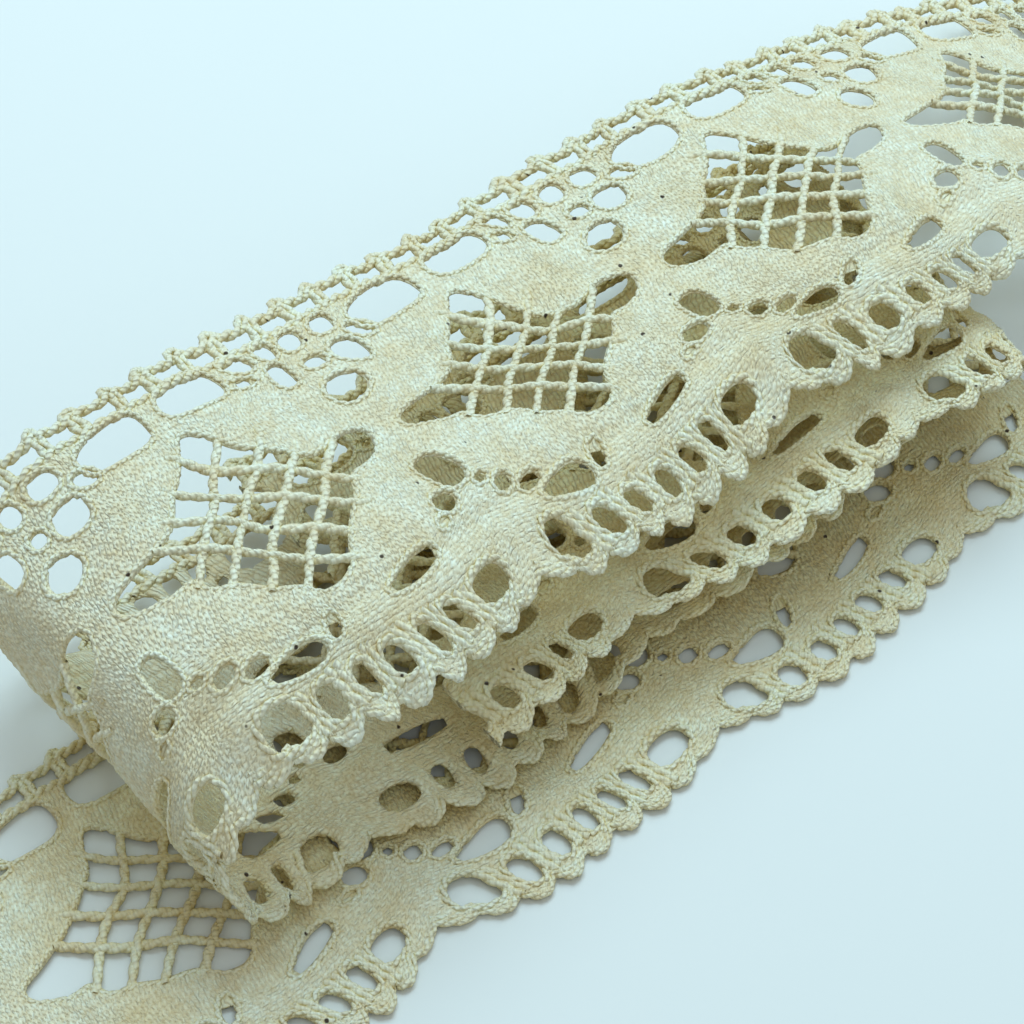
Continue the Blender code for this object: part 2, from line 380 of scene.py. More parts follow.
def loop_distance(points: Array, loop: Array) -> Array:
    """Distance of points to a closed line, negative inside it.

    The distance is the least one to any segment, and a point is inside where a ray crosses
    an odd number of segments.

    Args:
        points: one row (s, t) a point.
        loop: the closed line's points.

    Returns:
        One signed distance a point, in mm.
    """
    a, b = loop, np.roll(loop, -1, 0)
    run = b - a
    reach = points[:, None] - a
    share = np.clip((reach * run).sum(2) / np.maximum((run**2).sum(1), 1e-9), 0, 1)
    gap = np.linalg.norm(reach - run * share[..., None], axis=2).min(1)
    over = (a[None, :, 1] > points[:, None, 1]) != (b[None, :, 1] > points[:, None, 1])
    rise = np.where(run[:, 1] == 0, 1.0, run[:, 1])
    cut = a[:, 0] + (points[:, None, 1] - a[:, 1]) / rise * run[:, 0]
    inside = ((points[:, None, 0] < cut) & over).sum(1) % 2 == 1
    return np.where(inside, -gap, gap)


@dataclass(frozen=True)
class Edging:
    """The flat edging's two long edges and its bands, in mm."""

    notch_t: float = 21.4
    scallop_t: float = 24.3
    tooth: float = 2.1
    teeth: int = 9
    back_t: float = -17.5
    chain_t: float = -20.1
    picot_t: float = -21.2
    picots: int = 8
    rungs: int = 8
    fan_t: float = 5.0
    bow: float = 2.3

    def front(self, s: Array) -> Array:
        """Front edge: an arch a repeat (a sine to the power 0.6) with rounded teeth on it.

        Args:
            s: places along the repeat.

        Returns:
            The edge's t at each of them.
        """
        phase = (s / REPEAT + 0.5) % 1.0
        arch = np.sin(np.pi * phase) ** 0.6
        tooth = self.tooth * (np.abs(np.sin(np.pi * self.teeth * phase)) ** 0.8 - 0.6)
        return self.notch_t + (self.scallop_t - self.notch_t) * arch + tooth * arch

    def arch(self, s: Array) -> Array:
        """How far the fan's threads bow towards the front, a smooth arch a repeat."""
        return self.bow * np.abs(np.cos(np.pi * s / REPEAT)) ** 0.8


class Chart:
    """The flat repeat: its gaps and how far each place is from the edge of the cloth."""

    reach: float = 3.0
    laps: tuple[float, ...] = (-REPEAT, 0.0, REPEAT)

    def __init__(self, edging: Edging) -> None:
        """Draw the closed lines of the repeat inside the edging's two long edges.

        Args:
            edging: the two long edges.
        """
        self.edging = edging
        self.gaps = [gap_loop(gap) for gap in GAPS]
        self.window = rounded_loop(WINDOW)
        self.ring = rounded_loop(RING)

    def cloth(self, s: Array, t: Array) -> Array:
        """Distance into the cloth from its nearest edge, negative where there is no cloth.

        Args:
            s: places along the repeat.
            t: places across it.

        Returns:
            The least distance to the long edges, the window and every gap.
        """
        points = np.stack([s.ravel(), t.ravel()], axis=1)
        best = np.minimum(
            self.edging.front(points[:, 0]) - points[:, 1], points[:, 1] - self.edging.back_t
        )
        for loop in [self.window, *self.gaps]:
            for lap in self.laps:
                low = loop.min(0) + [lap - self.reach, -self.reach]
                high = loop.max(0) + [lap + self.reach, self.reach]
                near = ((points > low) & (points < high)).all(1)
                if near.any():
                    best[near] = np.minimum(
                        best[near], loop_distance(points[near], loop + [lap, 0.0])
                    )
        return best.reshape(s.shape)

    def fan(self, s: Array, t: Array) -> Array:
        """How much a place belongs to the fan: 1 outside the ring towards the front, else 0.

        Args:
            s: places along the repeat.
            t: places across it.

        Returns:
            The share at each place.
        """
        points = np.stack([s.ravel(), t.ravel()], axis=1)
        rings = [self.ring + [lap, 0.0] for lap in self.laps]
        outside = np.min([loop_distance(points, ring) for ring in rings], axis=0)
        front = np.clip((t - self.edging.fan_t) / 2.0, 0, 1)
        return np.clip(outside.reshape(s.shape) / 0.6, 0, 1) * front


class Unevenness:
    """Slow hand-made unevenness along a length: a sum of plane waves in s and t."""

    count: int = 9

    def __init__(self, seed: int, shift: float, lift: float) -> None:
        """Draw the waves.

        Args:
            seed: which length it is.
            shift: how far a place moves in the sheet, in mm.
            lift: how far it rises or falls, in mm.
        """
        rng = np.random.default_rng(seed)
        wavelength = rng.uniform(7.0, 34.0, (3, self.count))
        angle = rng.uniform(0, 2 * np.pi, (3, self.count))
        self.ks = 2 * np.pi / wavelength * np.cos(angle)
        self.kt = 2 * np.pi / wavelength * np.sin(angle)
        self.phase = rng.uniform(0, 2 * np.pi, (3, self.count))
        self.size = np.array([shift, shift, lift]) / math.sqrt(self.count / 2)

    def moved(self, flat: Array) -> Array:
        """The flat points (s, t, h), each moved by the waves at its place.

        Args:
            flat: one row (s, t, h) a point.

        Returns:
            The moved points.
        """
        out = flat.copy()
        for axis in range(3):
            wave = np.outer(flat[:, 0], self.ks[axis]) + np.outer(flat[:, 1], self.kt[axis])
            out[:, axis] += self.size[axis] * np.sin(wave + self.phase[axis]).sum(1)
        return out


@dataclass(frozen=True)
class Relief:
    """How the worked cloth stands up and dips, in mm: the fan's ridge and its rippled edge."""

    ridge: float = 0.35
    ridge_t: float = 17.2
    ridge_half: float = 2.0
    groove: float = 0.32
    groove_t: float = 14.4
    groove_half: float = 1.0
    ripple: float = 0.5
    ripple_mm: float = 9.3
    wander: float = 0.35
    wander_mm: float = 53.0

    def lift(self, s: Array, t: Array) -> Array:
        """Bell curves across t for ridge and groove, plus a sine along s that grows to the edge.

        Args:
            s: places along the repeat.
            t: places across it.

        Returns:
            How far each place is lifted, in mm.
        """
        ridge = self.ridge * np.exp(-(((t - self.ridge_t) / self.ridge_half) ** 2))
        groove = self.groove * np.exp(-(((t - self.groove_t) / self.groove_half) ** 2))
        turns = s / self.ripple_mm + self.wander * np.sin(2 * np.pi * s / self.wander_mm)
        edge = self.ripple * np.sin(2 * np.pi * turns) * np.clip((t - 18.0) / 6.0, 0, 1)
        return ridge - groove + edge


@dataclass(frozen=True)
class Thread:
    """A twisted pair of cotton threads: radius, half spacing, length of a turn and step, in mm."""

    radius: float
    spread: float
    pitch: float
    step: float
    sides: int = 5


BAR = Thread(radius=0.4, spread=0.16, pitch=3.3, step=0.52)
RIM = Thread(radius=0.26, spread=0.2, pitch=2.6, step=0.48)
FINE_RIM = Thread(radius=0.23, spread=0.14, pitch=2.0, step=0.48)
CHAIN = Thread(radius=0.37, spread=0.3, pitch=3.0, step=0.52)


def even(line: Array, step: float, closed: bool) -> Array:
    """Space points evenly along a line.

    Args:
        line: one row a point.
        step: the spacing wanted, in mm.
        closed: whether the last point joins the first.

    Returns:
        The line's new points.
    """
    whole = np.concatenate([line, line[:1]]) if closed else line
    length = running(whole)
    count = max(int(round(length[-1] / step)), 4)
    at = np.linspace(0.0, length[-1], count + 1)
    out = np.stack([np.interp(at, length, column) for column in whole.T], axis=1)
    return out[:-1] if closed else out


def frames(line: Array, closed: bool) -> tuple[Array, Array]:
    """Side and up directions along a line, side level in the sheet and up square to both.

    Args:
        line: one row (s, t, h) a point.
        closed: whether the last point joins the first.

    Returns:
        The side directions and the up directions, one row a point.
    """
    ahead = np.roll(line, -1, 0) - np.roll(line, 1, 0) if closed else np.gradient(line, axis=0)
    along = unit(ahead)
    side = unit(np.stack([-along[:, 1], along[:, 0], np.zeros(len(line))], axis=1))
    return side, np.cross(along, side)


class Skein:
    """Collects threads of one repeat as tubes in (s, t, h)."""

    def __init__(self) -> None:
        """Start with no thread."""
        self.points: list[Array] = []
        self.faces: list[Array] = []
        self.lays: list[Array] = []
        self.count = 0

    def tube(self, line: Array, radius: float, sides: int, closed: bool) -> None:
        """Sweep a ring along a line: centre plus radius times (cos a side + sin a up).

        Args:
            line: the thread's middle, one row (s, t, h) a point.
            radius: the thread's radius.
            sides: points round it.
            closed: whether the thread is a ring.
        """
        side, up = frames(line, closed)
        if closed:
            line, side, up = (np.concatenate([part, part[:1]]) for part in (line, side, up))
        angle = np.arange(sides) * 2 * np.pi / sides
        c, d = np.cos(angle)[None, :, None], np.sin(angle)[None, :, None]
        rings = line[:, None] + radius * (c * side[:, None] + d * up[:, None])
        rows = len(line)
        lay = np.empty((rows, sides, 4))
        lay[..., 0] = running(line)[:, None]
        lay[..., 1] = np.cos(angle)
        lay[..., 2] = np.sin(angle)
        lay[..., 3] = (len(self.points) * GOLDEN_SHARE) % 1.0
        i, j = np.arange(rows - 1)[:, None], np.arange(sides)[None, :]
        here, beside = i * sides + j, i * sides + (j + 1) % sides
        quads = np.stack([here, here + sides, beside + sides, beside], axis=2)
        self.points.append(rings.reshape(-1, 3))
        self.faces.append(quads.reshape(-1, 4) + self.count)
        self.lays.append(lay.reshape(-1, 4))
        self.count += rows * sides

    def work(self, line: Array, thread: Thread, closed: bool = False, turn: float = 0.0) -> None:
        """Work a line as a twisted pair.

        The two threads circle the line at half its spread, a whole turn each pitch.

        Args:
            line: one row (s, t) or (s, t, h) a point.
            thread: how it is worked.
            closed: whether it is a ring.
            turn: where the twist starts, in radians.
        """
        if line.shape[1] == 2:
            line = np.column_stack([line, np.zeros(len(line))])
        line = even(line, thread.step, closed)
        side, up = frames(line, closed)
        length = running(line)
        whole = length[-1] + thread.step
        turns = max(round(whole / thread.pitch), 1) / whole if closed else 1 / thread.pitch
        for start in (0.0, math.pi):
            phase = (turn + start + 2 * np.pi * length * turns)[:, None]
            helix = line + thread.spread * (np.cos(phase) * side + np.sin(phase) * up)
            self.tube(helix, thread.radius, thread.sides, closed)


def outset(loop: Array, distance: float, lift: float) -> Array:
    """A counter-clockwise closed line moved out along its own normals and set at a height.

    Args:
        loop: the closed line's points.
        distance: how far out, in mm.
        lift: its height h, in mm.

    Returns:
        One row (s, t, h) a point.
    """
    along = unit(np.roll(loop, -1, 0) - np.roll(loop, 1, 0))
    out = loop + distance * np.stack([along[:, 1], -along[:, 0]], axis=1)
    return np.column_stack([out, np.full(len(loop), lift)])


@dataclass
class LaceThreads:
    """The threads of one repeat that stand free of the cloth: rims, net, ladder, posts."""

    edging: Edging
    chart: Chart
    rim_outset: float = 0.4
    rim_lift: float = 0.2
    fine_reach: float = 1.2
    plain_gaps: int = 21
    net_overrun: float = 0.35
    net_lift: float = 0.12
    edge_insets: Span = (0.35, 1.05)
    rung_half: float = 0.45
    rung_leans: Span = (-0.1, 0.35)
    rung_draw: float = 0.8
    chain_waves: Span = (0.12, 0.2)
    picot_half: float = 0.75
    posts: tuple[float, ...] = (-10.4, -5.9, -1.8, 2.3, 6.3, 10.3)
    post_t: Span = (18.4, 22.9)
    post_half: float = 0.42
    post_lean: float = 0.3

    def net(self, skein: Skein) -> None:
        """The diamond net: twisted bars along both lattice directions, knots where they cross.

        A knot (a, b) lies at s = middle + step (a - b), with t read from NET_T at a + b.

        Args:
            skein: where the threads are collected.
        """
        for fixed in range(1, NET_LINES):
            free = np.linspace(-self.net_overrun, NET_LINES + self.net_overrun, 18)
            for way in (1, -1):
                s = NET_MIDDLE + way * NET_STEP * (fixed - free)
                t = np.interp(fixed + free, np.arange(len(NET_T)), NET_T)
                lift = self.net_lift * way * np.cos(np.pi * (free + fixed))
                skein.work(np.stack([s, t, lift], axis=1), BAR, turn=fixed * 1.3 + way)

    def rims(self, skein: Skein) -> None:
        """A twisted pair round the window and every gap, a little outside its edge.

        Args:
            skein: where the threads are collected.
        """
        skein.work(outset(self.chart.window, self.rim_outset, self.rim_lift / 2), FINE_RIM, True)
        for number, (gap, loop) in enumerate(zip(GAPS, self.chart.gaps)):
            small = max(gap.half_length, gap.half_width) < self.fine_reach
            thread = FINE_RIM if number < self.plain_gaps or small else RIM
            skein.work(outset(loop, self.rim_outset, self.rim_lift), thread, True, number * 1.7)

    def edges(self, skein: Skein) -> None:
        """The scalloped edge's two pairs, side by side, a whole repeat long.

        Args:
            skein: where the threads are collected.
        """
        s = np.linspace(-REPEAT / 2, REPEAT / 2, 110)
        for inset, turn in zip(self.edge_insets, (0.0, 1.6)):
            line = np.stack([s, self.edging.front(s) - inset, 0.08 * np.sin(s)], axis=1)
            skein.work(line, RIM, turn=turn)

    def ladder(self, skein: Skein) -> None:
        """The picot edge: two twisted chains, slanting rungs between them, a loop each picot.

        Args:
            skein: where the threads are collected.
        """
        e = self.edging
        s = np.linspace(-REPEAT / 2, REPEAT / 2, 90)
        wave = 2 * np.pi * s / REPEAT * e.picots
        for number, t in enumerate((e.back_t, e.chain_t)):
            waved = t + self.chain_waves[number] * np.sin(wave + number)
            skein.work(np.stack([s, waved], axis=1), CHAIN)
        for rung in range(e.rungs):
            at = (rung + 0.5) * REPEAT / e.rungs - REPEAT / 2
            lean = self.rung_leans[rung % 2]
            for beside in (-self.rung_half, self.rung_half):
                near, far = at + beside, at + lean + self.rung_draw * beside
                ends = np.array([[near, e.back_t + 0.1], [far, e.chain_t - 0.1]])
                skein.work(ends, BAR, turn=rung * 2.1 + beside)
        angle = np.linspace(0.0, np.pi, 12)
        t = e.chain_t + (e.picot_t - e.chain_t) * np.sin(angle)
        for picot in range(e.picots):
            at = (picot + 0.5) * REPEAT / e.picots - REPEAT / 2
            loop = np.stack([at + self.picot_half * np.cos(angle), t], axis=1)
            skein.work(loop, BAR, turn=picot * 1.1)

    def uprights(self, skein: Skein) -> None:
        """The twisted posts between the gaps of the scallop, two pairs to a post.

        Args:
            skein: where the threads are collected.
        """
        low, high = self.post_t
        t = np.linspace(low, high, 8)
        for number, middle in enumerate(self.posts):
            for beside in (-self.post_half, self.post_half):
                s = middle + beside + self.post_lean * (t - (low + high) / 2)
                lift = np.full(len(t), self.net_lift)
                skein.work(np.stack([s, t, lift], axis=1), BAR, turn=number + beside)

    def repeat(self) -> Skein:
        """All threads of one repeat, in (s, t, h).

        Returns:
            The skein that holds them.
        """
        skein = Skein()
        for part in (self.net, self.rims, self.edges, self.ladder, self.uprights):
            part(skein)
        return skein


def make_mesh(name: str, points: Array, faces: Array, **marks: Array) -> bpy.types.Object:
    """A smooth mesh of quads, at the origin.

    Args:
        name: the piece's name.
        points: one row (x, y, z) a point, in metres.
        faces: one row of four corners a face.
        marks: attributes by name, one value or one row of three a point.

    Returns:
        The new object, linked to the scene.
    """
    mesh = bpy.data.meshes.new(name)
    mesh.vertices.add(len(points))
    mesh.vertices.foreach_set("co", points.astype(np.float32).ravel())
    mesh.loops.add(faces.size)
    mesh.loops.foreach_set("vertex_index", faces.astype(np.int32).ravel())
    mesh.polygons.add(len(faces))
    mesh.polygons.foreach_set("loop_start", np.arange(0, faces.size, 4, dtype=np.int32))
    mesh.polygons.foreach_set("use_smooth", np.ones(len(faces), dtype=bool))
    mesh.update(calc_edges=True)
    mesh.validate()
    for mark, values in marks.items():
        kind, key = ("FLOAT_VECTOR", "vector") if values.ndim == 2 else ("FLOAT", "value")
        attribute = mesh.attributes.new(mark, kind, "POINT")
        attribute.data.foreach_set(key, values.astype(np.float32).ravel())
    piece = bpy.data.objects.new(name, mesh)
    bpy.context.scene.collection.objects.link(piece)
    return piece


@dataclass
class Length:
    """One length of the edging, laid along its path."""

    node: str
    path: TrimPath
    uneven: Unevenness
    seed: int
    relief: Relief
    pulls: list[Pull] = field(default_factory=list)

    def laps(self) -> range:
        """The repeats that this length has any part of."""
        first = math.floor(self.path.first / REPEAT + 0.5)
        return range(first, math.ceil(self.path.last / REPEAT - 0.5) + 1)

    def lay_down(self, flat: Array) -> Array:
        """Flat points to places, with the length's own unevenness, kept inside its cut ends.

        Args:
            flat: one row (s, t, h) a point.

        Returns:
            One row (x, y, z) a point, in metres.
        """
        moved = self.uneven.moved(flat)
        moved[:, 2] += self.relief.lift(flat[:, 0], flat[:, 1])
        if self.pulls:
            at, shift = np.array(self.pulls).T
            moved[:, 0] += np.interp(flat[:, 0], at, shift)
        moved[:, 0] = np.clip(moved[:, 0], self.path.first, self.path.last)
        return self.path.place(moved)


@dataclass
class ClothStitch:
    """The woven part of a length: one thin closed sheet with all its gaps left open."""

    chart: Chart
    columns: int = 62
    rows: int = 72
    half_thickness: float = 0.3
    edge_half: float = 0.1
    edge_reach: float = 0.55
    snap: float = 0.575
    end_slack: float = 0.3
    cloth_share: float = field(default=0.0, init=False)

    def repeat(self) -> tuple[Array, Array, Array, Array]:
        """One repeat's grid: places snapped to the cloth's edge, depth, fan share, kept cells.

        A point near enough to the edge is moved on to it, down the slope of the distance, so
        that the gaps come out smooth.

        Returns:
            Flat places (columns, rows, 2), depth from the edge, fan share, cells kept.
        """
        e = self.chart.edging
        ds = REPEAT / self.columns
        s = np.arange(self.columns) * ds - REPEAT / 2
        t = np.linspace(e.back_t, e.scallop_t + e.tooth, self.rows)
        cell = min(ds, t[1] - t[0])
        grid_s, grid_t = np.meshgrid(s, t, indexing="ij")
        depth = self.chart.cloth(grid_s, grid_t)
        small = 0.05
        slope_s = (self.chart.cloth(grid_s + small, grid_t) - depth) / small
        slope_t = (self.chart.cloth(grid_s, grid_t + small) - depth) / small
        steep = np.maximum(np.hypot(slope_s, slope_t), 0.3)
        near = np.abs(depth) < self.snap * cell
        move = np.where(near, -depth / steep**2, 0.0)
        place = np.stack([grid_s + move * slope_s, grid_t + move * slope_t], axis=2)
        depth = np.where(near, 0.0, depth)
        inside = depth > -1e-6
        after = np.roll(inside, -1, 0)
        keep = inside[:, :-1] & inside[:, 1:] & after[:, :-1] & after[:, 1:]
        self.cloth_share = float(keep.mean() * (t[-1] - t[0]) / (t[-1] - e.picot_t))
        return place, depth, self.chart.fan(grid_s, grid_t), keep

    def build(self, name: str, length: Length) -> bpy.types.Object:
        """The sheet of one length.

        Its half thickness follows a quarter circle from the edge inwards.

        Args:
            name: the piece's name.
            length: the length it belongs to.

        Returns:
            The sheet, with attributes lay (s, t, h), bow (s, t less the arch, h) and fan.
        """
        laps = np.array(length.laps())
        place, depth, fan, keep = (
            np.tile(part, (len(laps),) + (1,) * (part.ndim - 1)) for part in self.repeat()
        )
        place[:, :, 0] += np.repeat(laps, self.columns)[:, None] * REPEAT
        s = place[:, :, 0]
        on = (s > length.path.first - self.end_slack) & (s < length.path.last + self.end_slack)
        keep = keep[:-1] & on[:-1, :-1] & on[1:, :-1] & on[:-1, 1:] & on[1:, 1:]
        i, j = np.nonzero(keep)
        here, after = i * self.rows + j, (i + 1) * self.rows + j
        cells = np.stack([here, here + 1, after + 1, after], axis=1)
        used, back = np.unique(cells, return_inverse=True)
        quads = back.reshape(-1, 4)
        flat, depth, fan = place.reshape(-1, 2)[used], depth.ravel()[used], fan.ravel()[used]
        share = np.clip(depth / self.edge_reach, 0, 1)
        rise = np.sqrt(1 - (1 - share) ** 2)
        half = self.edge_half + (self.half_thickness - self.edge_half) * rise
        edges = np.concatenate([quads[:, [k, (k + 1) % 4]] for k in range(4)])
        _, index, count = np.unique(
            np.sort(edges, axis=1), axis=0, return_index=True, return_counts=True
        )
        a, b = edges[index[count == 1]].T
        n = len(flat)
        faces = np.concatenate([quads, quads[:, ::-1] + n, np.stack([b, a, a + n, b + n], axis=1)])
        both = np.concatenate([np.column_stack([flat, half]), np.column_stack([flat, -half])])
        bow = both.copy()
        bow[:, 1] -= self.chart.edging.arch(both[:, 0])
        marks = {"lay": both, "bow": bow, "fan": np.tile(fan, 2)}
        return make_mesh(name, length.lay_down(both), faces, **marks)


@dataclass
class ThreadWork:
    """Sets one repeat's threads out along a length."""

    skein: Skein

    def build(self, name: str, length: Length, laps: range) -> bpy.types.Object:
        """The threads of some repeats as one mesh.

        Args:
            name: the piece's name.
            length: the length they belong to.
            laps: which repeats.

        Returns:
            The threads, with attributes lay (length, cosine and sine round it), tone and shade.
        """
        tile, faces, lay = (
            np.concatenate(part) for part in (self.skein.points, self.skein.faces, self.skein.lays)
        )
        n, many = len(tile), len(laps)
        flat = np.tile(tile, (many, 1))
        flat[:, 0] += np.repeat(np.array(laps), n) * REPEAT
        quads = np.tile(faces, (many, 1)) + np.repeat(np.arange(many) * n, len(faces))[:, None]
        on = (flat[:, 0] > length.path.first) & (flat[:, 0] < length.path.last)
        used, back = np.unique(quads[on[quads].any(axis=1)], return_inverse=True)
        lay = np.tile(lay, (many, 1))[used]
        marks = {"lay": lay[:, :3], "tone": lay[:, 3], "shade": np.ones(len(lay))}
        return make_mesh(name, length.lay_down(flat[used]), back.reshape(-1, 4), **marks)


class Side(Enum):
    """Which side of the cloth the floats lie on."""

    OUTER = 1
    INNER = -1


@dataclass
class Floats:
    """The raised stretches of thread between crossings that cover the cloth stitch."""

    chart: Chart
    half_length: float = 0.52
    half_width: float = 0.25
    crown: float = 0.13
    sink: float = 0.05
    column_mm: float = 0.48
    row_mm: float = 0.96
    lean: float = 0.22
    fan_slant: float = -0.3
    keep_off: float = 0.62
    jitter: float = 0.045
    cloth_half: float = 0.3
    margin: float = 12.0
    end_margin: float = 0.6
    turn_jitter: float = 0.12
    lengths: Span = (0.85, 1.18)
    lifts: Span = (0.8, 1.25)

    def places(self, first: float, last: float, t_from: float, rng: np.random.Generator) -> Array:
        """Where the floats are and which way they run.

        In the trails a column of floats leans with t and the next is half a float on. In the
        fan the columns run along the trim, bowed with the scallop.

        Args:
            first: lowest s.
            last: highest s.
            t_from: lowest t.
            rng: where the unevenness comes from.

        Returns:
            One row (s, t, direction s, direction t) a float.
        """

        def numbers(low: float, high: float, step: float) -> Array:
            """Whole numbers of steps from low to high."""
            return np.arange(math.floor(low / step), math.ceil(high / step) + 1)

        e = self.chart.edging
        column, row = np.meshgrid(
            numbers(first - self.margin, last + self.margin, self.column_mm)[:-1],
            numbers(e.back_t, e.scallop_t, self.row_mm),
            indexing="ij",
        )
        t = (row + 0.5 * (column % 2)) * self.row_mm
        s = column * self.column_mm - self.lean * t
        trail = np.stack([s, t, np.full_like(s, -self.lean), np.ones_like(s)], axis=-1)
        row, column = np.meshgrid(
            numbers(first, last, self.row_mm),
            numbers(e.fan_t, e.scallop_t, self.column_mm),
            indexing="ij",
        )
        s = (row + 0.5 * (column % 2)) * self.row_mm
        slope = (e.arch(s + 0.1) - e.arch(s - 0.1)) / 0.2
        t = column * self.column_mm + e.arch(s)
        fan = np.stack([s, t, np.ones_like(s), slope + self.fan_slant], axis=-1)
        kept = []
        for number, group in enumerate((trail.reshape(-1, 4), fan.reshape(-1, 4))):
            group[:, :2] += rng.normal(0, self.jitter, (len(group), 2))
            group = group[(group[:, 0] >= first) & (group[:, 0] < last) & (group[:, 1] > t_from)]
            lap_s = (group[:, 0] + REPEAT / 2) % REPEAT - REPEAT / 2
            deep = self.chart.cloth(lap_s, group[:, 1]) > self.keep_off
            zone = self.chart.fan(lap_s, group[:, 1]) >= 0.5
            kept.append(group[deep & (zone == bool(number))])
        out = np.concatenate(kept)
        return np.concatenate([out[:, :2], unit(out[:, 2:])], axis=1)

    def build(
        self, name: str, length: Length, laps: range, side: Side, t_from: float
    ) -> bpy.types.Object:
        """The floats of some repeats, on one side of the cloth, as one mesh.

        Each float is a leaf of three stations along by three points across: full width at its
        middle, drawn in at its tips, its crest a crown above the cloth.

        Args:
            name: the piece's name.
            length: the length they belong to.
            laps: which repeats.
            side: the outer or the inner side.
            t_from: lowest t.

        Returns:
            The floats, with attributes lay, tone and shade.
        """
        rng = np.random.default_rng(length.seed * 10 + laps.start + side.value)
        first = max((laps.start - 0.5) * REPEAT, length.path.first + self.end_margin)
        last = min((laps.stop - 0.5) * REPEAT, length.path.last - self.end_margin)
        at = self.places(first, last, t_from, rng)
        n = len(at)
        turn = rng.normal(0, self.turn_jitter, n)
        c, d = np.cos(turn), np.sin(turn)
        along = np.stack([at[:, 2] * c - at[:, 3] * d, at[:, 2] * d + at[:, 3] * c], axis=1)
        across = np.stack([along[:, 1], -along[:, 0]], axis=1)
        tips = np.array([-1.0, 0.0, 1.0])
        x = self.half_length * rng.uniform(*self.lengths, (n, 1)) * tips
        y = self.half_width * np.array([0.5, 1.0, 0.5])[:, None] * tips
        h = np.full((3, 3), -self.sink)
        h[:, 1] = np.array([0.1, 1.0, 0.1]) * self.crown
        flat = np.empty((n, 3, 3, 3))
        flat[..., :2] = (
            at[:, None, None, :2]
            + x[:, :, None, None] * along[:, None, None]
            + y[None, :, :, None] * across[:, None, None]
        )
        lift = h * rng.uniform(*self.lifts, (n, 1, 1))
        flat[..., 2] = side.value * (self.cloth_half + lift)
        corner = np.array([0, 1, 3, 4])[:, None]
        quad = corner + (np.array([0, 1, 4, 3]) if side is Side.OUTER else np.array([3, 4, 1, 0]))
        faces = (quad[None] + 9 * np.arange(n)[:, None, None]).reshape(-1, 4)
        lay = np.empty((n, 3, 3, 3))
        lay[..., 0] = x[:, :, None] + rng.uniform(0, 9, (n, 1, 1))
        lay[..., 1] = tips
        lay[..., 2] = 1.0 - np.abs(tips)
        # Painted shade: each float's tips and sides are coloured darker than its crest.
        dimming = np.array([[0.5, 0.75, 0.5], [0.75, 1.0, 0.75], [0.5, 0.75, 0.5]])
        marks = {
            "lay": lay.reshape(-1, 3),
            "tone": np.repeat(rng.uniform(0, 1, n), 9),
            "shade": np.tile(dimming.ravel(), n),
        }
        return make_mesh(name, length.lay_down(flat.reshape(-1, 3)), faces, **marks)


class Nodes:
    """A material's node tree, filled one node at a time."""

    def __init__(self, name: str) -> None:
        """Make the material of that name and keep its shader and its coordinates.

        Args:
            name: the material's name.
        """
        self.material = bpy.data.materials.new(name)
        self.material.use_nodes = True
        self.tree = self.material.node_tree
        self.shader = self.tree.nodes["Principled BSDF"]
        self.where = (self.add("TexCoord"), "Object")

    def fill(self, socket: bpy.types.NodeSocket, source: Source) -> None:
        """Set a socket to a value, or link a node's first output or a (node, output) pair.

        Args:
            socket: the socket.
            source: what fills it, None to leave it.
        """
        if isinstance(source, bpy.types.Node):
            source = (source, 0)
        if isinstance(source, tuple) and isinstance(source[0], bpy.types.Node):
            self.tree.links.new(source[0].outputs[source[1]], socket)
        elif source is not None:
            socket.default_value = source

    def surface(self, sockets: dict[str, Source]) -> None:
        """Fill the shader's sockets by name."""
        for name, source in sockets.items():
            self.fill(self.shader.inputs[name], source)

    def add(self, kind: str, *inputs: Source, **settings: Source) -> bpy.types.Node:
        """Add one node.

        Args:
            kind: the node's type, after its first word ShaderNode.
            inputs: what fills its sockets in order, None to leave one.
            settings: its properties by name, and other sockets by identifier.

        Returns:
            The node.
        """
        node = self.tree.nodes.new("ShaderNode" + kind)
        for key in [key for key in settings if hasattr(node, key)]:
            setattr(node, key, settings.pop(key))
        for socket, source in zip(node.inputs, inputs):
            self.fill(socket, source)
        named = {socket.identifier: socket for socket in node.inputs}
        for key, source in settings.items():
            self.fill(named[key], source)
        return node


